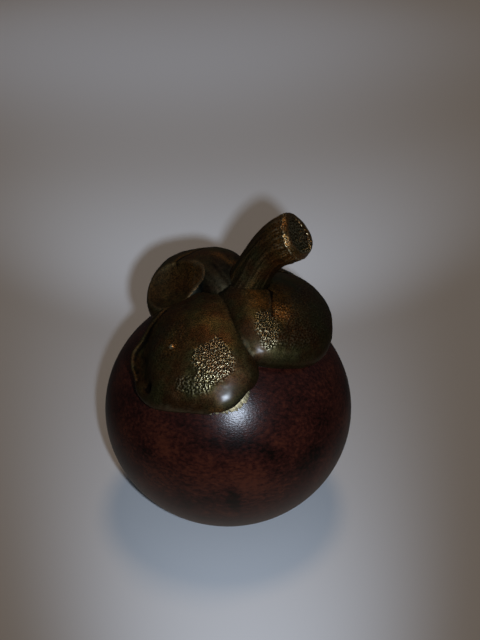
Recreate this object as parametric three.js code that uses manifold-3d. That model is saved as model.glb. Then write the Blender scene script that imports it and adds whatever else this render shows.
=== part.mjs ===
// An ornamental mangosteen: a turned and polished wooden fruit that carries a cast bronze calyx
// of four thick sepals and a stout bent stem. The stem's peg sits in a socket in the wood, and
// the sepals lie round the stem's foot, one lapping over the next as on the fruit.
//
// Millimetres, +Z up. The origin is the middle of the flat spot that the fruit rests on.
// -Y is the front, where the largest sepal hangs down. The stem leans towards +X.
import * as THREE from "three";
import { mergeVertices } from "three/addons/utils/BufferGeometryUtils.js";
import Module from "manifold-3d";

// The fruit
const fruit = { radius: 50, polarRadius: 47, footRadius: 13, footEase: 0.6, around: 56, rings: 30 };
const socket = { radius: 4.3, depth: 15, mouthEase: 0.5 };

// The calyx. A sepal is drawn on the fruit as a map is: "out" is the arc from the pole along
// the sepal's own azimuth, and "across" is the arc to its left. Heights stand above the wood.
// A swell raises or hollows the top along a line of [out, across] points.
const castingGap = 0.3;
const marginHeight = 2.8; // where a sepal's rounded edge turns under
const sepals = [
  {
    name: "sepal_right",
    azimuth: -15,
    outline: [
      [-5, -2], [1, -12.5], [6.3, -20.5], [10.8, -25.8], [15.8, -28], [21.5, -26.8], [29.5, -22.8], [35, -18.3],
      [38.8, -12], [40, -4], [38.7, 7], [36.5, 17], [32, 25], [25, 29.5], [15, 27], [6, 18], [-1, 8],
    ],
    middle: [19, 3],
    crest: 12,
    swells: [
      { along: [[20, 18], [22, 8]], radius: 8, rise: 1 },
      { along: [[12, 0], [15.5, -6], [17.5, -12]], radius: 3.4, rise: -1.4 },
    ],
    below: [],
  },
  {
    name: "sepal_back_left",
    azimuth: 125,
    outline: [
      [-5, -3], [0, -9], [8, -16], [17, -20.5], [27, -18.5], [34, -11], [35.5, -1], [30.5, 8],
      [24, 16], [17.5, 22], [10.8, 25], [6, 21.5], [4.5, 15], [3.5, 9], [-3.5, 6.5], [-6.5, 2.5],
    ],
    middle: [17, 3],
    crest: 16.5,
    swells: [
      { along: [[8, 22]], radius: 9, rise: -3.5 },
      { along: [[24, 2], [18, -8]], radius: 9, rise: 1.5 },
    ],
    below: ["sepal_right"],
  },
  {
    name: "sepal_front_left",
    azimuth: -115,
    outline: [
      [-5, 0], [-2, -10], [7, -18.5], [16, -21.3], [22.5, -22.8], [29, -25.2], [36, -24.6], [42, -21.5], [47, -16.8],
      [50, -10], [50.4, -3.5], [48.7, 6.7], [46.2, 15.4], [42.4, 20.8], [35.3, 24.6], [28, 25], [21, 21],
      [12, 15], [2, 9],
    ],
    middle: [25, -3],
    crest: 9.5,
    swells: [
      { along: [[14, -19], [22, -20.5], [28.5, -23], [36, -22.3]], radius: 1.8, rise: 1.5 },
      { along: [[28, -18.5], [38, -16], [43.5, -12.5]], radius: 3.4, rise: -2.3 },
      { along: [[8, -14]], radius: 9, rise: -2 },
    ],
    below: ["sepal_right", "sepal_back_left"],
  },
  {
    name: "sepal_back_right",
    azimuth: 62,
    outline: [
      [-5, 0], [2, -11], [12, -21], [24, -25], [35, -20], [42, -9], [43.5, 4], [39, 16], [30, 23],
      [18, 23], [8, 15], [-1, 7],
    ],
    middle: [20, 0],
    crest: 12.5,
    swells: [],
    below: ["sepal_right", "sepal_back_left"],
  },
];

// The section through a sepal: rings over its top, crowded towards the rounded margin, then the
// short turn under to the seat. Shares are of the way from the sepal's middle to its outline.
const pillow = { around: 64, over: 12, crowding: 1.6, shoulder: 3.4, fullness: 2.3 };
const underside = { rings: 4, turnShare: 0.985, turnHeight: 0.9, seatShare: 0.95 };

// The dished end of the curled sepal: an ellipsoid that is taken out of its front left face,
// with its middle above the fruit's centre and its short axis along "facing"
const dish = {
  sepal: "sepal_back_left",
  middle: [-22.6, 0, 60.2],
  facing: [-0.38, -0.52, 0.76],
  radii: [14.5, 14, 9.5],
  around: 40,
  rings: 28,
};

// The stem, from its foot on the fruit's pole to its cut end: x, y, height above the pole, radius
const stem = {
  stations: [
    [1, 1, -10, 9.2],
    [3.2, 1, -3, 9],
    [5.5, 1, 4, 8.3],
    [8.2, 0.6, 9.8, 7.5],
    [12, 0.2, 17, 7.2],
    [16.4, -0.5, 23, 7.7],
    [20.4, -1.7, 26.5, 8.7],
    [26.1, -4, 29.7, 9.4],
  ],
  around: 32,
  rings: 22,
};
const cutFace = { bevelFrom: 0.965, bevel: 1.7, bead: 0.6, recess: 0.9 };
const peg = { radius: 4, depth: 14, intoStem: 2, around: 32 };

const bronze = new THREE.MeshStandardMaterial({ color: 0x5a4524, roughness: 0.42, metalness: 0.9 });
const wood = new THREE.MeshStandardMaterial({ color: 0x3a1a14, roughness: 0.3, metalness: 0 });

// The flat spot cuts the fruit a little above its lower pole, so that sets the centre's height.
const footShare = Math.sqrt(1 - (fruit.footRadius / fruit.radius) ** 2);
const centreHeight = fruit.polarRadius * footShare;
const poleHeight = centreHeight + fruit.polarRadius;
const meanRadius = (fruit.radius + fruit.polarRadius) / 2;
const weldWithin = 1e-4;

const wasm = await Module();
wasm.setup();

function solidOf(geometry) {
  const plain = geometry.index ? geometry.toNonIndexed() : geometry.clone();
  const bare = new THREE.BufferGeometry().setAttribute("position", plain.getAttribute("position"));
  const merged = mergeVertices(bare, weldWithin);
  return new wasm.Manifold(
    new wasm.Mesh({
      numProp: 3,
      vertProperties: new Float32Array(merged.attributes.position.array),
      triVerts: new Uint32Array(merged.index.array),
    }),
  );
}

function geometryOf(solid) {
  const mesh = solid.getMesh();
  const positions = new Float32Array(mesh.numVert * 3);
  for (let i = 0; i < mesh.numVert; i++) {
    positions.set(mesh.vertProperties.subarray(i * mesh.numProp, i * mesh.numProp + 3), i * 3);
  }
  const geometry = new THREE.BufferGeometry();
  geometry.setAttribute("position", new THREE.BufferAttribute(positions, 3));
  geometry.setIndex(new THREE.BufferAttribute(mesh.triVerts, 1));
  geometry.computeVertexNormals();
  return geometry;
}

// A closed skin over rows of points: each row is a ring, and the first and last rows are single points.
function closedSkin(rows) {
  const positions = [];
  const starts = rows.map((row) => {
    const start = positions.length / 3;
    row.forEach((point) => positions.push(point.x, point.y, point.z));
    return start;
  });
  const faces = [];
  for (let i = 0; i + 1 < rows.length; i++) {
    const [upper, lower] = [rows[i], rows[i + 1]];
    const count = Math.max(upper.length, lower.length);
    for (let j = 0; j < count; j++) {
      const k = (j + 1) % count;
      const [a, b] = [starts[i] + (j % upper.length), starts[i] + (k % upper.length)];
      const [c, d] = [starts[i + 1] + (j % lower.length), starts[i + 1] + (k % lower.length)];
      if (upper.length > 1) faces.push(a, c, b);
      if (lower.length > 1) faces.push(b, c, d);
    }
  }
  const geometry = new THREE.BufferGeometry();
  geometry.setAttribute("position", new THREE.Float32BufferAttribute(positions, 3));
  geometry.setIndex(faces);
  return geometry;
}

// The point at a height above the fruit's skin, an arc away from its pole on an azimuth in radians.
function aboveFruit(arc, azimuth, height) {
  const polar = arc / meanRadius;
  const point = new THREE.Vector3(
    fruit.radius * Math.sin(polar) * Math.cos(azimuth),
    fruit.radius * Math.sin(polar) * Math.sin(azimuth),
    fruit.polarRadius * Math.cos(polar),
  );
  const normal = new THREE.Vector3(
    point.x / fruit.radius ** 2,
    point.y / fruit.radius ** 2,
    point.z / fruit.polarRadius ** 2,
  ).normalize();
  point.addScaledVector(normal, height);
  point.z += centreHeight;
  return point;
}

function makeFruit() {
  const profile = [new THREE.Vector2(0, 0), new THREE.Vector2(fruit.footRadius - fruit.footEase, 0)];
  const low = Math.acos(-footShare) - fruit.footEase / fruit.radius;
  const high = Math.asin((socket.radius + socket.mouthEase) / fruit.radius);
  for (let i = 0; i <= fruit.rings; i++) {
    const polar = low + ((high - low) * i) / fruit.rings;
    profile.push(
      new THREE.Vector2(fruit.radius * Math.sin(polar), centreHeight + fruit.polarRadius * Math.cos(polar)),
    );
  }
  profile.push(new THREE.Vector2(socket.radius, poleHeight - socket.mouthEase));
  profile.push(new THREE.Vector2(socket.radius, poleHeight - socket.depth));
  profile.push(new THREE.Vector2(0, poleHeight - socket.depth));
  return new THREE.LatheGeometry(profile, fruit.around).rotateX(Math.PI / 2);
}

// The fruit grown by the casting gap, which the stem's foot is cut off by.
function makeFruitSpace() {
  const shape = new THREE.SphereGeometry(1, 64, 48).rotateX(Math.PI / 2);
  const level = fruit.radius + castingGap;
  shape.scale(level, level, fruit.polarRadius + castingGap);
  shape.translate(0, 0, centreHeight);
  return solidOf(shape);
}

function bell(x) {
  return Math.exp(-x * x);
}

// How far a point of the map lies from a line of points, or from a single point.
function distanceFrom(line, out, across) {
  const spot = new THREE.Vector3(out, across, 0);
  const points = line.map(([x, y]) => new THREE.Vector3(x, y, 0));
  if (points.length === 1) return spot.distanceTo(points[0]);
  const nearest = new THREE.Vector3();
  const distances = points.slice(1).map((end, i) => {
    new THREE.Line3(points[i], end).closestPointToPoint(spot, true, nearest);
    return spot.distanceTo(nearest);
  });
  return Math.min(...distances);
}

// A pillow seated on the fruit: rings from its crest over the rounded margin and back underneath.
function makeSepal(sepal, grow) {
  const turn = THREE.MathUtils.degToRad(sepal.azimuth);
  const outline = new THREE.CatmullRomCurve3(
    sepal.outline.map(([out, across]) => new THREE.Vector3(out, across, 0)),
    true,
  ).getSpacedPoints(pillow.around);
  const middle = new THREE.Vector3(...sepal.middle, 0);
  const place = (index, share, heightAt) => {
    const reach = outline[index].clone().sub(middle);
    reach.setLength(reach.length() + grow);
    const spot = middle.clone().addScaledVector(reach, share);
    const height = heightAt(spot.x, spot.y);
    return aboveFruit(Math.hypot(spot.x, spot.y), turn + Math.atan2(spot.y, spot.x), height);
  };
  const ring = (share, heightAt) =>
    Array.from({ length: share ? pillow.around : 1 }, (_, index) => place(index, share, heightAt));
  const topAt = (rise) => (out, across) => {
    const swell = sepal.swells
      .map(({ along, radius, rise: lift }) => lift * bell(distanceFrom(along, out, across) / radius))
      .reduce((sum, lift) => sum + lift, 0);
    return marginHeight + (sepal.crest + swell + grow - marginHeight) * rise;
  };
  const seat = () => castingGap - grow;
  const rows = [ring(0, topAt(1))];
  for (let i = 1; i <= pillow.over; i++) {
    const share = 1 - (1 - i / pillow.over) ** pillow.crowding;
    rows.push(ring(share, topAt((1 - share ** pillow.shoulder) ** (1 / pillow.fullness))));
  }
  rows.push(ring(underside.turnShare, () => seat() + underside.turnHeight));
  for (let i = underside.rings; i >= 0; i--) {
    rows.push(ring((underside.seatShare * i) / underside.rings, seat));
  }
  return solidOf(closedSkin(rows));
}

function makeDish() {
  const shape = new THREE.SphereGeometry(1, dish.around, dish.rings).scale(...dish.radii);
  const facing = new THREE.Vector3(...dish.facing).normalize();
  shape.applyQuaternion(new THREE.Quaternion().setFromUnitVectors(new THREE.Vector3(0, 0, 1), facing));
  shape.translate(dish.middle[0], dish.middle[1], dish.middle[2] + centreHeight);
  return solidOf(shape);
}

// Rings along the stem's bend, then the cut end: a bevel, a narrow bead and a shallow recess.
function makeStem(grow) {
  const path = new THREE.CatmullRomCurve3(
    stem.stations.map(([x, y, z]) => new THREE.Vector3(x, y, z + poleHeight)),
  );
  const widths = new THREE.CatmullRomCurve3(
    stem.stations.map(([, , , radius], i) => new THREE.Vector3(i, radius, 0)),
  );
  const side = new THREE.Vector3(0, 1, 0);
  const ring = (share, radius, forward) => {
    const middle = path.getPoint(share);
    const along = path.getTangent(share);
    const lean = new THREE.Vector3().crossVectors(side, along).normalize();
    const left = new THREE.Vector3().crossVectors(along, lean).normalize();
    return Array.from({ length: radius ? stem.around : 1 }, (_, j) => {
      const angle = (2 * Math.PI * j) / stem.around;
      return middle
        .clone()
        .addScaledVector(lean, radius * Math.cos(angle))
        .addScaledVector(left, radius * Math.sin(angle))
        .addScaledVector(along, forward);
    });
  };
  const end = widths.getPoint(1).y + grow;
  const rows = [
    ring(1, 0, -cutFace.recess),
    ring(1, end - cutFace.bevel - 2 * cutFace.bead, -cutFace.recess),
    ring(1, end - cutFace.bevel - cutFace.bead, 0),
    ring(1, end - cutFace.bevel, 0),
  ];
  for (let i = stem.rings; i >= 0; i--) {
    const share = (cutFace.bevelFrom * i) / stem.rings;
    rows.push(ring(share, widths.getPoint(share).y + grow, 0));
  }
  rows.push(ring(0, 0, 0));
  return solidOf(closedSkin(rows));
}

function makePeg() {
  const length = peg.depth + peg.intoStem;
  const shape = new THREE.CylinderGeometry(peg.radius, peg.radius, length, peg.around).rotateX(Math.PI / 2);
  shape.translate(0, 0, poleHeight - peg.depth + length / 2);
  return solidOf(shape);
}

const ornament = new THREE.Group();

function add(name, geometry, material) {
  const mesh = new THREE.Mesh(geometry, material);
  mesh.name = name;
  ornament.add(mesh);
}

add("fruit_body", makeFruit(), wood);
add("stem", geometryOf(makeStem(0).subtract(makeFruitSpace()).add(makePeg())), bronze);

// Each sepal gives way to the stem and to the sepals that lap over it.
const stemSpace = makeStem(castingGap);
const sepalSpace = Object.fromEntries(sepals.map((sepal) => [sepal.name, makeSepal(sepal, castingGap)]));
for (const sepal of sepals) {
  let solid = makeSepal(sepal, 0).subtract(stemSpace);
  for (const upper of sepal.below) solid = solid.subtract(sepalSpace[upper]);
  if (sepal.name === dish.sepal) solid = solid.subtract(makeDish());
  const largest = solid.decompose().sort((a, b) => b.volume() - a.volume())[0];
  add(sepal.name, geometryOf(largest), bronze);
}

export default ornament;
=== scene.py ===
import math

import bpy
import numpy as np
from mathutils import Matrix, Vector, noise


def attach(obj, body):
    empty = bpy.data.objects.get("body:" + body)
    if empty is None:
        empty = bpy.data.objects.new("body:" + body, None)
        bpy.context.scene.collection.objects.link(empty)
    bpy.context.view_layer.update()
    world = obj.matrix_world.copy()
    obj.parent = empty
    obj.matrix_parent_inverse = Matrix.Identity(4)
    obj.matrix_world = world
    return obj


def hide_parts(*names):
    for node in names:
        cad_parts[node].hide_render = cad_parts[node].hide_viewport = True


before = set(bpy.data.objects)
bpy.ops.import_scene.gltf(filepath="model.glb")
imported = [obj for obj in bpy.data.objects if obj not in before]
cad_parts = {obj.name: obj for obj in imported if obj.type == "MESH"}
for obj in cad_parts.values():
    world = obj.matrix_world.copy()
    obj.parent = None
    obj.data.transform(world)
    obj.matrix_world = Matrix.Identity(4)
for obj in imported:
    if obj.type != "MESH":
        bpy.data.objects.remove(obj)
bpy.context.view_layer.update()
mm = 0.001  # sizes below are in millimetres, Blender's are in metres

print("frame loaded")


def pickOnly(piece):
    bpy.ops.object.select_all(action="DESELECT")
    piece.select_set(True)
    bpy.context.view_layer.objects.active = piece


def finishWith(piece, kind, settings):
    pickOnly(piece)
    modifier = piece.modifiers.new(kind.lower(), kind)
    for name, value in settings.items():
        setattr(modifier, name, value)
    bpy.ops.object.modifier_apply(modifier=modifier.name)


# Materials

def linear(hexColour):
    # an sRGB hex colour as the linear RGBA that the sockets take
    channels = [int(hexColour[i:i + 2], 16) / 255 for i in (1, 3, 5)]
    return [
        c / 12.92 if c <= 0.04045 else ((c + 0.055) / 1.055) ** 2.4
        for c in channels
    ] + [1]


def addNode(tree, kind, settings, links):
    node = tree.nodes.new("ShaderNode" + kind)
    for name, value in settings.items():
        if name == "stops":  # a colour ramp's places and colours
            ramp = node.color_ramp.elements
            while len(ramp) < len(value):
                ramp.new(0.5)
            for stop, (place, colour) in zip(ramp, value):
                stop.position = place
                stop.color = linear(colour)
        elif isinstance(name, str) and hasattr(node, name):
            setattr(node, name, value)
        else:
            node.inputs[name].default_value = value
    for name, source in links.items():
        tree.links.new(source, node.inputs[name])
    return node


def newMaterial(name):
    material = bpy.data.materials.new(name)
    material.use_nodes = True
    return material, material.node_tree, material.node_tree.nodes["Principled BSDF"]


# Mahogany-red wood, stained nearly black in places, then sealed and rubbed to a soft gloss: the
# eye gets a deep mottled red-brown under a thin film, with pores that break up its highlight.
polishedWood = {
    "darkStain": "#0d0503",
    "redStain": "#2d110c",
    "paleFleck": "#472114",
    "tonePlaces": (0.36, 0.5, 0.64),  # where the mottle's noise takes each of the three tones
    # the block's grain runs along X, a little askew, so everything is drawn out that way
    "grainTurn": (0.1, 0.15, 0.3),
    "grainStretch": (0.55, 1, 1),
    "bandSpacing": 12,
    "fleckSize": 1.1,
    "fleckShare": 0.6,
    "poreSize": 0.45,
    "poreDepth": 0.12,
    "roughness": 0.7,
    "filmShare": 0.75,
    "filmRoughness": 0.26,
    "filmIor": 1.5,
}


def makePolishedWood():
    look = polishedWood
    material, tree, shader = newMaterial("polishedStainedWood")
    place = addNode(tree, "TexCoord", {}, {}).outputs["Object"]
    along = addNode(tree, "Mapping", {
        "Rotation": look["grainTurn"], "Scale": look["grainStretch"],
    }, {"Vector": place}).outputs["Vector"]
    bands = addNode(tree, "TexNoise", {
        "Scale": 1 / (look["bandSpacing"] * mm), "Detail": 3, "Roughness": 0.5, "Distortion": 0.4,
    }, {"Vector": along})
    flecks = addNode(tree, "TexNoise", {
        "Scale": 1 / (look["fleckSize"] * mm), "Detail": 5, "Roughness": 0.65,
    }, {"Vector": along})
    mottle = addNode(tree, "Mix", {"data_type": "FLOAT", 0: look["fleckShare"]}, {
        2: bands.outputs["Fac"], 3: flecks.outputs["Fac"],
    })
    # stain patches, with a painted reflection band and a painted shadow among them, shift the mottle
    # towards the dark or the pale end
    patches = addNode(tree, "Attribute", {"attribute_name": "stain"}, {})
    shifted = addNode(tree, "Math", {"operation": "ADD"}, {
        0: mottle.outputs[0], 1: patches.outputs["Fac"],
    })
    tones = [look["darkStain"], look["redStain"], look["paleFleck"]]
    stain = addNode(tree, "ValToRGB", {"stops": list(zip(look["tonePlaces"], tones))}, {
        "Fac": shifted.outputs["Value"],
    })
    pores = addNode(tree, "TexNoise", {
        "Scale": 1 / (look["poreSize"] * mm), "Detail": 3, "Roughness": 0.6,
    }, {"Vector": along})
    dents = addNode(tree, "Bump", {"Strength": 0.5, "Distance": look["poreDepth"] * mm}, {
        "Height": pores.outputs["Fac"],
    })
    shader.inputs["Roughness"].default_value = look["roughness"]
    shader.inputs["Specular IOR Level"].default_value = 0  # only the film on top shines
    shader.inputs["Coat Weight"].default_value = look["filmShare"]
    shader.inputs["Coat Roughness"].default_value = look["filmRoughness"]
    shader.inputs["Coat IOR"].default_value = look["filmIor"]
    tree.links.new(stain.outputs["Color"], shader.inputs["Base Color"])
    tree.links.new(dents.outputs["Normal"], shader.inputs["Normal"])
    tree.links.new(dents.outputs["Normal"], shader.inputs["Coat Normal"])
    return material


# Cast bronze with a waxed brown patina: near black in the hollows, olive brown over the swells,
# rubbed through to pale yellow metal on fine crests, a little grey-green round the stem's foot.
# The warm gold and the pale metal are also laid on as painted glints and a painted reflection,
# and the dark grey-green as painted shadow and shade.
patinatedBronze = {
    "hollow": "#0f0b07",
    "patina": "#50341a",
    "olive": "#4a4324",
    "rubbedAndGlint": "#dccfa4",
    # warm gold for bare metal, and for the painted warm glints and the painted reflection
    "warmGold": "#9a662e",
    "verdigrisAndShade": "#1d201a",
    "cloudSize": 9,
    "cloudPlaces": (0.4, 0.62),  # where the clouds' noise takes the patina's and the olive tone
    "skinGrain": 0.5,
    "skinDepth": 0.12,
    "skinShades": [(0.38, "#a0a0a0"), (0.62, "#ffffff")],
    "goldPlaces": (0.35, 0.65),
    # on the scale of crest, which is 0.5 where the surface is flat
    "hollowPlaces": (0.48, 0.3),
    "hollowShare": 0.9,
    "paleCrestPlaces": (0.51, 0.68),
    "metallic": 0.9,
    "specular": 0.3,
    "roughness": 0.38,
    "polishedRoughness": 0.16,
    "dustyMore": 0.2,
    "waxedMore": 0.3,
    "grainMore": 0.2,
    "waxRoughness": 0.3,
}


def makePatinatedBronze():
    look = patinatedBronze
    material, tree, shader = newMaterial("patinatedBronze")
    place = addNode(tree, "TexCoord", {}, {}).outputs["Object"]
    clouds = addNode(tree, "TexNoise", {
        "Scale": 1 / (look["cloudSize"] * mm), "Detail": 6, "Roughness": 0.6,
    }, {"Vector": place})
    grain = addNode(tree, "TexNoise", {
        "Scale": 1 / (look["skinGrain"] * mm), "Detail": 4, "Roughness": 0.65,
    }, {"Vector": place})
    mask = {
        name: addNode(tree, "Attribute", {"attribute_name": name}, {}).outputs["Fac"]
        for name in ("crest", "worn", "gold", "polish", "wax", "root")
    }
    tones = [look["patina"], look["olive"]]
    brown = addNode(tree, "ValToRGB", {"stops": list(zip(look["cloudPlaces"], tones))}, {
        "Fac": clouds.outputs["Fac"],
    })
    # dark grey-green: verdigris round the stem's foot, painted shadow by the fin and painted shade on
    # the stem's left side; the dish is darker towards its left
    greenedAndShaded = addNode(tree, "Mix", {"data_type": "RGBA", 7: linear(look["verdigrisAndShade"])}, {
        0: mask["root"], 6: brown.outputs["Color"],
    })
    speckled = addNode(tree, "MapRange", {
        "From Min": look["goldPlaces"][0], "From Max": look["goldPlaces"][1],
    }, {"Value": grain.outputs["Fac"]})
    goldShare = addNode(tree, "Math", {"operation": "MULTIPLY"}, {
        0: mask["gold"], 1: speckled.outputs["Result"],
    })
    warmed = addNode(tree, "Mix", {"data_type": "RGBA", 7: linear(look["warmGold"])}, {
        0: goldShare.outputs["Value"], 6: greenedAndShaded.outputs[2],
    })
    shades = addNode(tree, "ValToRGB", {"stops": look["skinShades"]}, {
        "Fac": grain.outputs["Fac"],
    })
    grained = addNode(tree, "Mix", {"data_type": "RGBA", "blend_type": "MULTIPLY", 0: 1.0}, {
        6: warmed.outputs[2], 7: shades.outputs["Color"],
    })
    # crests are rubbed bright and hollows keep their dirt; the same pale metal is laid on small bumps
    # and edges as painted glints
    sunk = addNode(tree, "MapRange", {
        "From Min": look["hollowPlaces"][0], "From Max": look["hollowPlaces"][1],
        "To Max": look["hollowShare"],
    }, {"Value": mask["crest"]})
    dirty = addNode(tree, "Mix", {"data_type": "RGBA", 7: linear(look["hollow"])}, {
        0: sunk.outputs["Result"], 6: grained.outputs[2],
    })
    proud = addNode(tree, "MapRange", {
        "From Min": look["paleCrestPlaces"][0], "From Max": look["paleCrestPlaces"][1],
    }, {"Value": mask["crest"]})
    rubbedAndGlintShare = addNode(tree, "Math", {"operation": "MULTIPLY"}, {
        0: mask["worn"], 1: proud.outputs["Result"],
    })
    rubbedAndGlint = addNode(tree, "Mix", {"data_type": "RGBA", 7: linear(look["rubbedAndGlint"])}, {
        0: rubbedAndGlintShare.outputs["Value"], 6: dirty.outputs[2],
    })
    # the skin is glossy where handling has polished it, and duller under dust, wax and grain
    rough = addNode(tree, "MapRange", {
        "To Min": look["roughness"], "To Max": look["polishedRoughness"],
    }, {"Value": mask["polish"]}).outputs["Result"]
    for source, more in (
        (mask["root"], look["dustyMore"]),
        (mask["wax"], look["waxedMore"]),
        (grain.outputs["Fac"], look["grainMore"]),
    ):
        rough = addNode(tree, "Math", {"operation": "MULTIPLY_ADD", 1: more}, {
            0: source, 2: rough,
        }).outputs["Value"]
    skin = addNode(tree, "Bump", {"Strength": 0.5, "Distance": look["skinDepth"] * mm}, {
        "Height": grain.outputs["Fac"],
    })
    shader.inputs["Metallic"].default_value = look["metallic"]
    shader.inputs["Specular IOR Level"].default_value = look["specular"]
    shader.inputs["Coat Roughness"].default_value = look["waxRoughness"]
    tree.links.new(mask["wax"], shader.inputs["Coat Weight"])
    tree.links.new(rubbedAndGlint.outputs[2], shader.inputs["Base Color"])
    tree.links.new(rough, shader.inputs["Roughness"])
    tree.links.new(skin.outputs["Normal"], shader.inputs["Normal"])
    return material


bronze = makePatinatedBronze()
wood = makePolishedWood()
print("materials made")


# The wooden fruit

fruit = {
    "node": "fruit_body",
    "radius": 50,
    "polarRadius": 47,
    "footRadius": 13,
    "footEase": 0.8,
    "socketRadius": 4.3,
    "socketDepth": 15,
    "frontAzimuth": -90,
    # where the wood is darker (below 0) or lighter than its mottle: stain patches, with a painted
    # reflection and a painted shadow among them; line on the map of the front, radius, amount
    "stain": [
        # painted reflection: a darker band across the front at mid height, where the gloss turns from
        # mirroring the dark room to mirroring the pale table
        ([(58, -22), (61, 0), (60, 22), (57, 34)], 6, -0.05),
        ([(52, 48), (70, 50)], 9, -0.04),
        ([(81, 3), (87, 4)], 3.5, -0.15),
        ([(57, -34), (64, -30)], 7, 0.05),
        ([(72, -16), (76, 10)], 8, 0.05),
        # painted shadow: darker just under the right sepal's lower edge
        ([(38, 30), (44, 28)], 7, -0.03),
    ],
}
centreHeight = fruit["polarRadius"] * math.sqrt(1 - (fruit["footRadius"] / fruit["radius"]) ** 2)
poleHeight = centreHeight + fruit["polarRadius"]
meanRadius = (fruit["radius"] + fruit["polarRadius"]) / 2


def makeFruit():
    bpy.ops.object.select_all(action="DESELECT")
    bpy.ops.mesh.primitive_uv_sphere_add(segments=192, ring_count=120, radius=fruit["radius"] * mm)
    piece = bpy.context.object
    piece.name = "turnedFruit"
    bpy.ops.object.mode_set(mode="EDIT")
    bpy.ops.mesh.select_all(action="SELECT")
    bpy.ops.transform.resize(value=(1, 1, fruit["polarRadius"] / fruit["radius"]))
    bpy.ops.transform.translate(value=(0, 0, centreHeight * mm))
    # the foot: everything under the table is cut away and the hole is closed flat
    bpy.ops.mesh.bisect(plane_co=(0, 0, 0), plane_no=(0, 0, 1), use_fill=True, clear_inner=True)
    bpy.ops.mesh.bevel(offset=fruit["footEase"] * mm, segments=3)
    bpy.ops.object.mode_set(mode="OBJECT")
    # the socket that takes the stem's peg
    bpy.ops.object.select_all(action="DESELECT")
    bpy.ops.mesh.primitive_cylinder_add(
        vertices=48,
        radius=fruit["socketRadius"] * mm,
        depth=2 * fruit["socketDepth"] * mm,
        location=(0, 0, poleHeight * mm),
    )
    drill = bpy.context.object
    finishWith(piece, "BOOLEAN", {"object": drill, "operation": "DIFFERENCE", "solver": "EXACT"})
    bpy.data.objects.remove(drill)
    pickOnly(piece)
    bpy.ops.object.shade_smooth_by_angle(angle=math.radians(35))
    out, across, height = mapOnFruit(placesOf(piece), fruit["frontAzimuth"])
    keepAs(piece, "stain", paintedOn(out, across, fruit["stain"]))
    piece.data.materials.append(wood)
    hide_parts(fruit["node"])
    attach(piece, "root")


# Working on the surfaces

def placesOf(piece):
    # every vertex's place, in millimetres
    flat = np.empty(len(piece.data.vertices) * 3)
    piece.data.vertices.foreach_get("co", flat)
    return flat.reshape(-1, 3) / mm


def mapOnFruit(places, azimuth):
    # each place as on a map of the fruit: arc out from the pole along the azimuth, arc across
    # it, and height above the wood
    level = np.hypot(places[:, 0], places[:, 1])
    upright = places[:, 2] - centreHeight
    height = np.zeros(len(places))
    for _ in range(3):
        polar = np.arctan2(
            level / (fruit["radius"] + height), upright / (fruit["polarRadius"] + height),
        )
        skin = np.hypot(fruit["radius"] * np.sin(polar), fruit["polarRadius"] * np.cos(polar))
        height = np.hypot(level, upright) - skin
    turn = np.arctan2(places[:, 1], places[:, 0]) - math.radians(azimuth)
    arc = meanRadius * polar
    return arc * np.cos(turn), arc * np.sin(turn), height


def distanceTo(out, across, line):
    # each place's distance on the map to a line, or to a point where the line has only one
    nearest = np.full(len(out), 1e3)
    for (x0, y0), (x1, y1) in zip(line, line[1:] or line):
        runX, runY = x1 - x0, y1 - y0
        share = ((out - x0) * runX + (across - y0) * runY) / max(runX ** 2 + runY ** 2, 1e-9)
        share = share.clip(0, 1)
        nearest = np.minimum(nearest, np.hypot(out - x0 - share * runX, across - y0 - share * runY))
    return nearest


def bell(distance, radius):
    # 1 in the middle, fading softly to nothing by about twice the radius
    return np.exp(-(distance / radius) ** 2)


def paintedOn(out, across, strokes):
    total = np.zeros(len(out))
    for line, radius, amount in strokes:
        total += amount * bell(distanceTo(out, across, line), radius)
    return total


def insideOf(out, across, outline, softness):
    # 1 inside an outline of the map, fading to 0 over the softness outside it
    inside = np.zeros(len(out), bool)
    for (x0, y0), (x1, y1) in zip(outline, outline[1:] + outline[:1]):
        spans = (y0 > across) != (y1 > across)
        crossing = x0 + (across - y0) * (x1 - x0) / (y1 - y0 if y1 != y0 else 1e-9)
        inside ^= spans & (out < crossing)
    distance = distanceTo(out, across, outline + outline[:1])
    return np.where(inside, 1, (1 - distance / softness).clip(0, 1))


def brushOn(piece, name, weights):
    # the weights as a vertex group for the modifiers
    group = piece.vertex_groups.get(name) or piece.vertex_groups.new(name=name)
    for index in np.nonzero(weights > 0.01)[0]:
        group.add([int(index)], float(min(weights[index], 1)), "REPLACE")


def keepAs(piece, name, values):
    # the values as an attribute for the shader
    attribute = piece.data.attributes.new(name, "FLOAT", "POINT")
    attribute.data.foreach_set("value", values.astype(np.float32))


def press(piece, name, weights, depth, texture=None, middle=0.0, direction="NORMAL"):
    # moves the surface along its normal by up to the depth, where the weights say
    brushOn(piece, name, weights)
    finishWith(piece, "DISPLACE", {
        "strength": depth * mm,
        "mid_level": middle,
        "vertex_group": name,
        "texture": texture,
        "texture_coords": "LOCAL",
        "direction": direction,
    })


def newTexture(name, kind, size, settings):
    texture = bpy.data.textures.new(name, kind)
    texture.noise_scale = size * mm
    for key, value in settings.items():
        setattr(texture, key, value)
    return texture


makeFruit()
print("fruit turned")


# marks of a matting punch, about a millimetre across, and the slack skin of a sand casting
punchMarks = newTexture("punchMarks", "VORONOI", 0.88, {"noise_intensity": 1.0})
smallMarks = newTexture("smallMarks", "VORONOI", 0.7, {"noise_intensity": 1.0})
castSkin = newTexture("castSkin", "CLOUDS", 5, {"noise_depth": 2})


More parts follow.
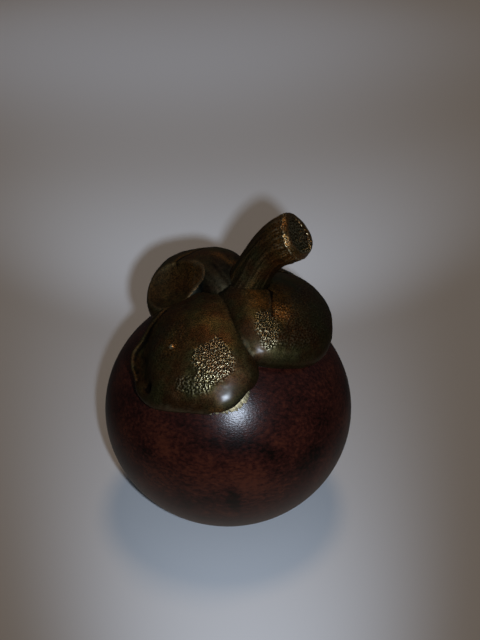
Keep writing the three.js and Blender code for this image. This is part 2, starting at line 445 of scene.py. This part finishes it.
def castingFrom(node, name, voxel, passes):
    # a casting starts as a merged copy of its solid, remeshed fine and eased all over
    piece = bpy.data.objects.new(name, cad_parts[node].data.copy())
    bpy.context.scene.collection.objects.link(piece)
    piece.data.materials.clear()
    pickOnly(piece)
    bpy.ops.object.mode_set(mode="EDIT")
    bpy.ops.mesh.select_all(action="SELECT")
    bpy.ops.mesh.remove_doubles(threshold=0.001 * mm)
    bpy.ops.object.mode_set(mode="OBJECT")
    finishWith(piece, "REMESH", {"mode": "VOXEL", "voxel_size": voxel * mm})
    finishWith(piece, "SMOOTH", {"factor": 0.5, "iterations": passes})
    return piece


def refine(piece, weights):
    # cuts the faces under the weights in four, so that small marks have enough vertices
    pickOnly(piece)
    bpy.ops.object.mode_set(mode="EDIT")
    bpy.ops.mesh.select_mode(type="FACE")
    bpy.ops.mesh.select_all(action="DESELECT")
    bpy.ops.object.mode_set(mode="OBJECT")
    for face in piece.data.polygons:
        face.select = all(weights[i] > 0.02 for i in face.vertices)
    bpy.ops.object.mode_set(mode="EDIT")
    bpy.ops.mesh.subdivide(number_cuts=1)
    bpy.ops.mesh.select_mode(type="VERT")
    bpy.ops.object.mode_set(mode="OBJECT")


def standOut(piece, reach, passes):
    # 0.5 where the surface is flat, more on crests and less in hollows, as handling wears it
    places = placesOf(piece)
    ends = np.empty(len(piece.data.edges) * 2, int)
    piece.data.edges.foreach_get("vertices", ends)
    one, other = ends.reshape(-1, 2).T
    count = np.bincount(np.concatenate([one, other]), minlength=len(places))[:, None]

    def averaged(values):
        summed = np.stack([
            np.bincount(one, column[other], len(places))
            + np.bincount(other, column[one], len(places))
            for column in values.T
        ], 1)
        return summed / count

    smooth = places
    for _ in range(passes):
        smooth = (smooth + averaged(smooth)) / 2
    normals = np.empty(len(places) * 3)
    piece.data.vertices.foreach_get("normal", normals)
    height = ((places - smooth) * normals.reshape(-1, 3)).sum(1)
    return (0.5 + height / reach / 2).clip(0, 1)


def finishCasting(piece, node, masks, reach=0.16, rubbedAndGlint=0):
    # keeps the masks for the bronze, where the extra crest passed in (the dish's painted highlight)
    # adds to the crest, and dresses the node
    keepAs(piece, "crest", (standOut(piece, reach, 6) + rubbedAndGlint).clip(0, 1))
    for name, values in masks.items():
        keepAs(piece, name, values.clip(0, 1))
    pickOnly(piece)
    bpy.ops.object.shade_smooth()
    piece.data.materials.append(bronze)
    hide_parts(node)
    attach(piece, "root")
    print(piece.name, len(piece.data.polygons), "faces")


# The sepals: lines and outlines are [out, across] on the fruit, in millimetres

# In each, matting is a list of outlines and how bold their marks are, and raised and undercut
# are lines, radii and rises, over the top and on the outer wall. The rest are lines, radii and
# amounts: calm for where the cast skin is smoother, gold for warm bare metal and for painted
# warm glints and a painted reflection, worn for rubbed crests and painted glints, polish and wax
# for sharp and soft gloss, and dull for dust and verdigris and for painted shadow.

frontLeftSepal = {
    "node": "sepal_front_left",
    "azimuth": -115,
    "matting": [
        ([(24, 7.6), (25.3, 11.1), (28.4, 14.9), (31.1, 15.8), (35, 13.8), (37.3, 11.7), (40, 11),
          (39.5, 7.1), (35.7, 6.3), (32.3, 3.1), (29, 3.5), (26.9, 6.2)], 1.0),
        ([(40.3, 11.2), (42.3, 5.9), (42.1, 0.9), (39.4, 0.8), (37.6, 4.3), (38, 9)], 0.6),
        ([(20, -6), (25, -2), (33, -3), (36, -8), (33, -12), (25, -13)], 0.3),
    ],
    "raised": [
        ([(24, -23), (32, -25), (40, -21)], 6, -1.5),
        ([(12, -14), (19.2, -16), (25.5, -19.2), (31.7, -21.5), (37.1, -20.8), (41, -18)],
         0.8, 0.8),
        ([(24, -13.5), (30, -15.5), (38, -15.2), (42.5, -13)], 3.4, -0.9),
        ([(43.6, -11.5)], 1.8, -1.4),
        ([(43, 17.5), (40.5, 20.2)], 4, 1.1),
        ([(30.4, -5.1)], 0.9, 0.4),
    ],
    "undercut": [([(35, 24.5), (38, 23.3), (42, 20.8), (45.3, 16.3)], 2.5, -1.4)],
    "calm": [([(39.5, 18), (36.5, 19)], 4.5, 0.9)],
    # painted shadow: dark grey-green along the gap between the sepal's lower edge and the fin
    "dullAndPaintedShadow": [([(36, 23), (39.2, 22.2), (41.5, 20.8)], 0.9, 0.9)],
    "gold": [
        # the first three: painted warm glints of the lamp overhead
        ([(19.4, 2.1)], 3, 0.3),
        ([(30.4, -5.1)], 2.2, 1.0),
        ([(23, 11.1)], 1.6, 0.2),
        # painted reflection of the red wood on the lower bevel of the edge
        ([(45, 14.5), (43.8, 17.8)], 1.1, 1.0),
    ],
    "worn": [
        ([(48.5, -4), (49, 2), (48.5, 7.5), (47, 13)], 1.2, 0.1),
        # painted glint: pale metal on the small bump
        ([(30.4, -5.1)], 1.2, 1.0),
    ],
    "polish": [([(30.4, -5.1)], 1.6, 1.0)],
    "wax": [([(39.6, 18), (37, 19)], 2.6, 0.45), ([(39, 17), (35.7, 19.4)], 4.5, 0.3)],
}
rightSepal = {
    "node": "sepal_right",
    "azimuth": -15,
    "matting": [
        ([(13.9, -18.7), (15.6, -20.4), (17.2, -22.6), (19, -22.9), (20.4, -20.8), (19.6, -16.6),
          (17.6, -12.6), (15.4, -11.4), (12.8, -13.9)], 1.0),
        ([(15.4, -11.4), (14.5, -5.6), (20, -3), (21, 8), (26, 17), (33, 12), (35, 0), (33, -10),
          (28, -18), (21.7, -20.8), (20.7, -16.3), (18.4, -12.3)], 0.4),
    ],
    "raised": [([(10, 2), (13.9, -1.6), (15.5, -6), (17, -11.5)], 0.6, -0.45)],
    "gold": [
        # painted warm glints of the lamp overhead, beside the groove
        ([(11.5, -5), (13, -8)], 3.2, 1.0),
        ([(14.5, -3), (18.5, -5.5)], 4.5, 1.0),
        # painted glints: gold dots along the left edge
        ([(10.6, -22.5)], 0.5, 1.0),
        ([(12, -23.8)], 0.4, 1.0),
        ([(13.4, -25)], 0.4, 1.0),
        ([(15, -26.2)], 0.4, 0.8),
    ],
    # painted glints: pale metal dotted along the left edge
    "worn": [([(10.6, -22.5), (15, -26.2)], 0.5, 0.4)],
    "polish": [([(10.6, -22.5)], 0.6, 1.0), ([(12, -23.8), (15, -26.2)], 0.4, 0.6)],
    "wax": [([(12.5, -21), (18, -25)], 3.5, 0.35)],
}
backLeftSepal = {
    "node": "sepal_back_left",
    "azimuth": 125,
    "easing": 7,
    "matting": [],
    "raised": [
        ([(15.6, 7), (16.3, 1.7), (17.6, -3)], 0.8, -0.6),
        ([(11, -7), (5, -5), (0, 0)], 1.2, -0.35),
        ([(9, -1), (3, 2)], 1.2, -0.2),
        ([(5.2, 1.6), (-0.9, 2.5), (-4, 1.9)], 0.6, -0.15),
        ([(3.1, 5.5), (-1.6, 5.6), (-3.9, 4.8)], 0.6, -0.15),
        ([(3.5, 8.2), (-1.5, 7.5)], 0.6, -0.15),
    ],
    "gold": [
        ([(10, -3.4), (3.8, -4)], 1.5, 0.9),
        ([(4.2, -6.1)], 1.2, 0.8),
        ([(14, 0)], 7, 0.3),
    ],
    "dullAndPaintedShadow": [([(3.9, 7.4), (4.3, 9.1), (4.4, 10.8)], 1.5, 1.0)],
    "worn": [],
    "polish": [],
}
backRightSepal = {
    "node": "sepal_back_right",
    "azimuth": 62,
    "matting": [([(20, 4), (28, 12), (37, 4), (34, -10), (22, -12)], 0.7)],
    "raised": [],
    "gold": [([(14, 2)], 4, 0.4)],
    "worn": [],
    "polish": [],
}
# the hollow of the curled back left sepal, an ellipsoid about a place above the fruit's middle
dish = {
    "middle": (-22.6, 0, 60.2),
    "facing": (-0.38, -0.52, 0.76),
    "radii": (14.5, 14, 9.5),
    "skin": 1.04,
    # towards its right end it is painted gold and pale and made glossier, a painted highlight where
    # the rim catches the light, and towards its left it is darker and rougher: from which x, over how
    # far
    "glintFrom": -15.5,
    "glintOver": 3,
    "dullFrom": -18,
    "dullOver": 8,
}


def intoDish(places):
    # how far out of the dish's ellipsoid each place is: 1 on its surface, less inside
    facing = Vector(dish["facing"]).normalized()
    turn = np.array(facing.rotation_difference(Vector((0, 0, 1))).to_matrix())
    inside = (places - dish["middle"] - [0, 0, centreHeight]) @ turn.T
    return np.linalg.norm(inside / dish["radii"], axis=1)


# what the four sepals have in common
casting = {
    "voxel": 0.5,
    "easing": 12,
    "skinDepth": 0.5,
    "mattingDepth": 0.46,
    "mattingMiddle": 0.75,
    "mattingFade": 1.4,
    "mattingAbove": 2,
    # marks bolder than this are cut into finer faces than the rest
    "boldest": 0.72,
    "goldAbove": 3,
    "wornAnywhere": 0.02,
    "rootDullness": 0.85,
    "rootRadius": 10,
}


def makeSepal(name, sepal):
    easing = sepal.get("easing", casting["easing"])
    piece = castingFrom(sepal["node"], name, casting["voxel"], easing)

    def mattingWeights():
        out, across, height = mapOnFruit(placesOf(piece), sepal["azimuth"])
        weights = np.zeros(len(out))
        for outline, boldness in sepal["matting"]:
            inside = insideOf(out, across, outline, casting["mattingFade"])
            weights = np.maximum(weights, boldness * inside)
        return weights * (height - casting["mattingAbove"]).clip(0, 1)

    out, across, height = mapOnFruit(placesOf(piece), sepal["azimuth"])
    rippled = 1 - paintedOn(out, across, sepal.get("calm", []))
    press(piece, "castSkin", rippled, casting["skinDepth"], castSkin, 0.5)
    # the forms keep clear of the sepal's underside, which lies on the wood
    out, across, height = mapOnFruit(placesOf(piece), sepal["azimuth"])
    for number, (line, radius, rise) in enumerate(sepal["raised"]):
        weights = bell(distanceTo(out, across, line), radius) * ((height - 1) / 2).clip(0, 1)
        press(piece, "raised%d" % number, weights, rise)
    for line, radius, rise in sepal.get("undercut", []):
        wall = ((height - 0.6) / 0.8).clip(0, 1) * ((6 - height) / 2).clip(0, 1)
        press(piece, "undercut", bell(distanceTo(out, across, line), radius) * wall, rise)
    refine(piece, mattingWeights())
    refine(piece, mattingWeights() - casting["boldest"])
    matting = mattingWeights()
    press(piece, "matting", matting, casting["mattingDepth"], punchMarks, casting["mattingMiddle"])
    places = placesOf(piece)
    out, across, height = mapOnFruit(places, sepal["azimuth"])
    masks = {
        name: paintedOn(out, across, sepal.get(key, []))
        for name, key in (
            ("gold", "gold"), ("worn", "worn"), ("polish", "polish"), ("wax", "wax"),
            # the dull strokes join the root mask: verdigris, and painted shadow on the front left
            # sepal
            ("root", "dullAndPaintedShadow"),
        )
    }
    masks["gold"] *= height > casting["goldAbove"]
    masks["worn"] += casting["wornAnywhere"] + matting ** 2
    masks["polish"] += matting
    # dust and verdigris gather round the stem's foot
    atRoot = bell(np.hypot(out, across), casting["rootRadius"])
    masks["root"] += casting["rootDullness"] * atRoot
    rubbedAndGlint = np.zeros(len(out))
    if sepal is backLeftSepal:
        inDish = intoDish(places) < dish["skin"]
        beside = places[:, 0]
        towardsRight = ((beside - dish["glintFrom"]) / dish["glintOver"]).clip(0, 1)
        towardsLeft = ((dish["dullFrom"] - beside) / dish["dullOver"]).clip(0, 1)
        # painted highlight: gold, pale metal and gloss on the dish's right end, where the rim catches
        # the light
        rubbedAndGlint = 0.1 * inDish * towardsRight
        masks["gold"] += 0.15 * inDish + 9 * rubbedAndGlint
        masks["worn"] += rubbedAndGlint
        masks["polish"] += 5 * rubbedAndGlint
        masks["root"] += 0.7 * inDish * towardsLeft
    finishCasting(piece, sepal["node"], masks, rubbedAndGlint=rubbedAndGlint)


makeSepal("frontLeftSepal", frontLeftSepal)
makeSepal("rightSepal", rightSepal)
makeSepal("backLeftSepal", backLeftSepal)
makeSepal("backRightSepal", backRightSepal)


# a jagged fin of metal that ran out under the front left sepal's edge and was never filed off
fin = {
    "azimuth": -115,
    "edge": [(32, 24.2), (33.4, 24.9), (36.8, 24.2), (40.2, 22.7), (43.2, 20), (45.8, 15.4),
             (47.4, 11.5), (48.2, 6)],
    "inwardTo": 28,
    # its rows from the ragged edge inwards: how far in, and how high over the wood
    "raggedHeight": 0.35,
    "rows": [(1.4, 0.6), (3, 1.1)],
    "thickness": 0.45,
    "rounding": 0.1,
    "steps": 90,
    "jaggedness": 1.3,
    "toothSize": 0.9,
    # it runs out furthest a little before the middle of its length
    "shortfall": 0.3,
    "runOut": 1.2,
    "runOutShare": 0.4,
    "runOutSpread": 0.22,
    "masks": {"crest": 0.62, "gold": 0.5, "worn": 0.8, "polish": 0.3, "wax": 0.0, "root": 0.0},
}


def onFruit(out, across, height, azimuth):
    # the reverse of mapOnFruit, for one place
    polar = math.hypot(out, across) / meanRadius
    turn = math.atan2(across, out) + math.radians(azimuth)
    level = (fruit["radius"] + height) * math.sin(polar)
    upright = (fruit["polarRadius"] + height) * math.cos(polar)
    return Vector((level * math.cos(turn), level * math.sin(turn), centreHeight + upright)) * mm


def makeFin():
    edge = np.array(fin["edge"])
    knots = np.linspace(0, 1, len(edge))
    shares = np.linspace(0, 1, fin["steps"])
    outs = np.interp(shares, knots, edge[:, 0])
    acrosses = np.interp(shares, knots, edge[:, 1])
    corners = []
    for share, out, across in zip(shares, outs, acrosses):
        ragged = fin["jaggedness"] * noise.noise(Vector((out, across, 0)) / fin["toothSize"])
        ragged += fin["shortfall"]
        ragged -= fin["runOut"] * bell(share - fin["runOutShare"], fin["runOutSpread"])
        inward = -Vector((out - fin["inwardTo"], across)).normalized()
        for reach, height in [(ragged, fin["raggedHeight"])] + fin["rows"]:
            innerOut, innerAcross = out + inward.x * reach, across + inward.y * reach
            corners.append(onFruit(innerOut, innerAcross, height, fin["azimuth"]))
    faces = []
    for step in range(fin["steps"] - 1):
        for row in (0, 1):
            first = 3 * step + row
            faces.append((first, first + 1, first + 4, first + 3))
    mesh = bpy.data.meshes.new("castFin")
    mesh.from_pydata(corners, [], faces)
    piece = bpy.data.objects.new("castFin", mesh)
    bpy.context.scene.collection.objects.link(piece)
    finishWith(piece, "SOLIDIFY", {"thickness": fin["thickness"] * mm, "offset": 0})
    finishWith(piece, "BEVEL", {"width": fin["rounding"] * mm, "segments": 2})
    for name, value in fin["masks"].items():
        keepAs(piece, name, np.full(len(mesh.vertices), value))
    pickOnly(piece)
    bpy.ops.object.shade_smooth()
    mesh.materials.append(bronze)
    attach(piece, "root")


makeFin()
print("sepals cast")


# The stem: x, y and height above the fruit's pole of points along its middle

stem = {
    "node": "stem",
    "path": [(1, 1, -10), (3.2, 1, -3), (5.5, 1, 4), (8.2, 0.6, 9.8), (12, 0.2, 17), (16.4, -0.5, 23),
             (20.4, -1.7, 26.5), (26.1, -4, 29.7)],
    "voxel": 0.4,
    "easing": 8,
    "pegRadius": 5,
    "grooveDepth": 0.35,
    "groovesRound": 4.5,
    "groovesAlong": 0.06,
    "endRadius": 9.4,
    "bevel": 1.7,
    # the end's flare: how far before the end it starts, over how much it grows, then how far
    # it reaches on the right and how much less below
    "flareFrom": 7,
    "flareOver": 6,
    "flareSide": 5,
    "flareRight": 1.3,
    "flareBelow": 1.1,
    "faceDepth": 0.9,
    "faceMiddle": 0.6,
    "bandDepth": 0.35,
    "footPlace": 10,
    "footSpread": 9,
    "crestReach": 0.3,
}


def mapOnStem(places):
    # each place's distance along the stem, distance from its middle line, and turn about it
    path = np.array([(x, y, z + poleHeight) for x, y, z in stem["path"]], float)
    best = np.full(len(places), 1e9)
    along = np.zeros(len(places))
    turn = np.zeros(len(places))
    start = 0
    for one, other in zip(path, path[1:]):
        run = other - one
        length = np.linalg.norm(run)
        share = ((places - one) @ run / length ** 2).clip(0, 1.5 if other is path[-1] else 1)
        offset = places - one - share[:, None] * run
        distance = np.linalg.norm(offset, axis=1)
        sideways = np.cross(run / length, (0, 1, 0))
        nearer = distance < best
        best = np.where(nearer, distance, best)
        along = np.where(nearer, start + share * length, along)
        turn = np.where(nearer, np.arctan2(offset[:, 1], offset @ sideways), turn)
        start += length
    return along, best, turn, start


def streaksAt(along, turn):
    # long streaks up the stem, for its grooves and for the gold in them
    return np.array([
        noise.fractal(Vector((
            stem["groovesRound"] * math.cos(angle),
            stem["groovesRound"] * math.sin(angle),
            stem["groovesAlong"] * distance,
        )), 0.9, 2.0, 4)
        for angle, distance in zip(turn, along)
    ])


def makeStem():
    piece = castingFrom(stem["node"], "bentStem", stem["voxel"], stem["easing"])
    places = placesOf(piece)
    along, distance, turn, length = mapOnStem(places)
    side = (distance > stem["pegRadius"]) * (along < length - 2)
    grooves = (0.5 + streaksAt(along, turn)).clip(0, 1) * side
    press(piece, "grooves", grooves, stem["grooveDepth"])
    endPlace = stem["path"][-1]
    end = ((along - length + stem["flareFrom"]) / stem["flareOver"]).clip(0, 1)
    onRight = ((places[:, 0] - endPlace[0]) / stem["flareSide"]).clip(0, 1)
    press(piece, "endRight", end * onRight, stem["flareRight"], direction="X")
    below = ((poleHeight + endPlace[2] - places[:, 2]) / stem["flareSide"]).clip(0, 1)
    press(piece, "endBelow", end * below, stem["flareBelow"], direction="Z")
    refine(piece, 1.0 * (along > length - 4))
    places = placesOf(piece)
    along, distance, turn, length = mapOnStem(places)
    faceRadius = stem["endRadius"] - stem["bevel"]
    face = (along > length - 1.6) * (distance < faceRadius - 1)
    press(piece, "cutFace", 1.0 * face, stem["faceDepth"], punchMarks, stem["faceMiddle"])
    band = bell(along - length + 2.8, 2.4) * (distance > faceRadius - 0.4)
    rim = bell(distance - faceRadius + 0.7, 0.5) * (along > length - 2.2)
    press(piece, "band", band, stem["bandDepth"], smallMarks, 0.5)
    side = (distance > stem["pegRadius"]) * (along < length - 2)
    foot = bell((along - stem["footPlace"]).clip(0, None), stem["footSpread"])
    goldStreaks = 0.9 * streaksAt(along, turn).clip(0, 1) * (1 - 0.8 * foot)
    goldEnd = 0.4 * bell(along - length + 5, 6)
    masks = {
        "gold": (goldStreaks + goldEnd) * side + band + 0.6 * rim,
        "worn": 0.05 * (1 - foot) + 0.6 * band + 0.5 * face + rim,
        "polish": 0.7 * band + 0.7 * face + rim,
        "wax": np.zeros(len(places)),
        # the foot's share is verdigris; the 0.3 on the stem's left side is painted shade
        "root": (0.7 * foot + 0.3 * np.cos(turn).clip(0, 1)) * side,
    }
    finishCasting(piece, stem["node"], masks, stem["crestReach"])


makeStem()
print("stem cast")


# Stage, lights and camera

studio = {
    "floorSize": 30,  # in metres, well past all that the camera sees
    "floorColour": "#dedede",
    "floorRoughness": 0.7,
    "floorSpecular": 0.2,
    # the room from straight down to straight up, as the glossy surfaces mirror it
    "room": [(0, "#807a76"), (0.3, "#272625"), (0.52, "#272625"), (0.75, "#393c40"), (1, "#4a4e54")],
    "roomStrength": 1.0,
    "cameraPlace": (0, -271.0, 235.1),
    "cameraTilt": 61.06,
    "cameraTurn": -1.0,
    "lens": 45,
    # a warm soft sun overhead and a little behind
    "overheadTurn": (-9, 3, 0),
    "overheadSpread": 14,
    "overheadStrength": 0.39,
    "overheadColour": "#ffdcb4",
    # small cool lamps, as from a flash: one beside the camera that lights all but the floor,
    # and three that light only the floor, near and far from beside it and high up behind
    "lamps": {
        "beside": {
            "place": (36, -265, 222), "aim": (0, 0, 60), "spread": (19, 40), "power": 2.5,
            "colour": "#dcebff", "onFloor": False,
        },
        "besideNear": {
            "place": (16, -265, 222), "aim": (0, 0, 60), "spread": (19, 40), "power": 2.5,
            "colour": "#dcebff", "onFloor": True,
        },
        "besideFar": {
            "place": (16, -265, 222), "aim": (0, 420, 0), "spread": (22, 12), "power": 9,
            "colour": "#dcebff", "onFloor": True,
        },
        "back": {
            "place": (-100, 800, 1300), "aim": (-100, 1250, 0), "spread": (26, 36), "power": 12,
            "colour": "#d4e6ff", "onFloor": True,
        },
    },
    "lampSize": 9,
}


def makeFloor():
    bpy.ops.object.select_all(action="DESELECT")
    bpy.ops.mesh.primitive_plane_add(size=studio["floorSize"])
    floor = bpy.context.object
    floor.name = "paleFloor"
    material, tree, shader = newMaterial("paleFloor")
    shader.inputs["Base Color"].default_value = linear(studio["floorColour"])
    shader.inputs["Roughness"].default_value = studio["floorRoughness"]
    shader.inputs["Specular IOR Level"].default_value = studio["floorSpecular"]
    floor.data.materials.append(material)
    # the real one is small, so glossy surfaces mirror the room's tones instead
    floor.visible_glossy = False
    return floor


def makeLights(floor):
    overhead = bpy.data.lights.new("overhead", "SUN")
    overhead.energy = studio["overheadStrength"]
    overhead.angle = math.radians(studio["overheadSpread"])
    overhead.color = linear(studio["overheadColour"])[:3]
    lamp = bpy.data.objects.new("overhead", overhead)
    lamp.rotation_euler = [math.radians(angle) for angle in studio["overheadTurn"]]
    bpy.context.scene.collection.objects.link(lamp)
    floorOnly = bpy.data.collections.new("floorOnly")
    floorOnly.objects.link(floor)
    notFloor = bpy.data.collections.new("notFloor")
    notFloor.objects.link(floor)
    notFloor.collection_objects[0].light_linking.link_state = "EXCLUDE"
    for name, setting in studio["lamps"].items():
        light = bpy.data.lights.new(name, "SPOT")
        across, upright = [math.radians(angle) for angle in setting["spread"]]
        light.spot_size = 2 * upright
        light.spot_blend = 1
        light.shadow_soft_size = studio["lampSize"] / 2 * mm
        light.energy = setting["power"]
        light.color = linear(setting["colour"])[:3]
        lamp = bpy.data.objects.new(name, light)
        lamp.location = Vector(setting["place"]) * mm
        aim = Vector(setting["aim"]) * mm - lamp.location
        lamp.rotation_euler = aim.to_track_quat("-Z", "Y").to_euler()
        lamp.scale = (math.tan(across) / math.tan(upright), 1, 1)  # an oval pool of light
        lamp.light_linking.receiver_collection = floorOnly if setting["onFloor"] else notFloor
        bpy.context.scene.collection.objects.link(lamp)


def makeCamera():
    camera = bpy.data.objects.new("camera", bpy.data.cameras.new("camera"))
    camera.data.lens = studio["lens"]
    camera.location = Vector(studio["cameraPlace"]) * mm
    tilt, turn = math.radians(studio["cameraTilt"]), math.radians(studio["cameraTurn"])
    camera.rotation_euler = (tilt, 0, turn)
    bpy.context.scene.collection.objects.link(camera)
    bpy.context.scene.camera = camera


def makeWorld():
    world = bpy.data.worlds.new("softRoom")
    world.use_nodes = True
    tree = world.node_tree
    background = tree.nodes["Background"]
    direction = addNode(tree, "TexCoord", {}, {}).outputs["Generated"]
    height = addNode(tree, "SeparateXYZ", {}, {"Vector": direction}).outputs["Z"]
    upward = addNode(tree, "MapRange", {"From Min": -1}, {"Value": height}).outputs["Result"]
    room = addNode(tree, "ValToRGB", {"stops": studio["room"]}, {"Fac": upward})
    background.inputs["Strength"].default_value = studio["roomStrength"]
    tree.links.new(room.outputs["Color"], background.inputs["Color"])
    bpy.context.scene.world = world


makeWorld()
makeCamera()
makeLights(makeFloor())
bpy.context.scene.view_settings.view_transform = "Standard"
print("stage set")
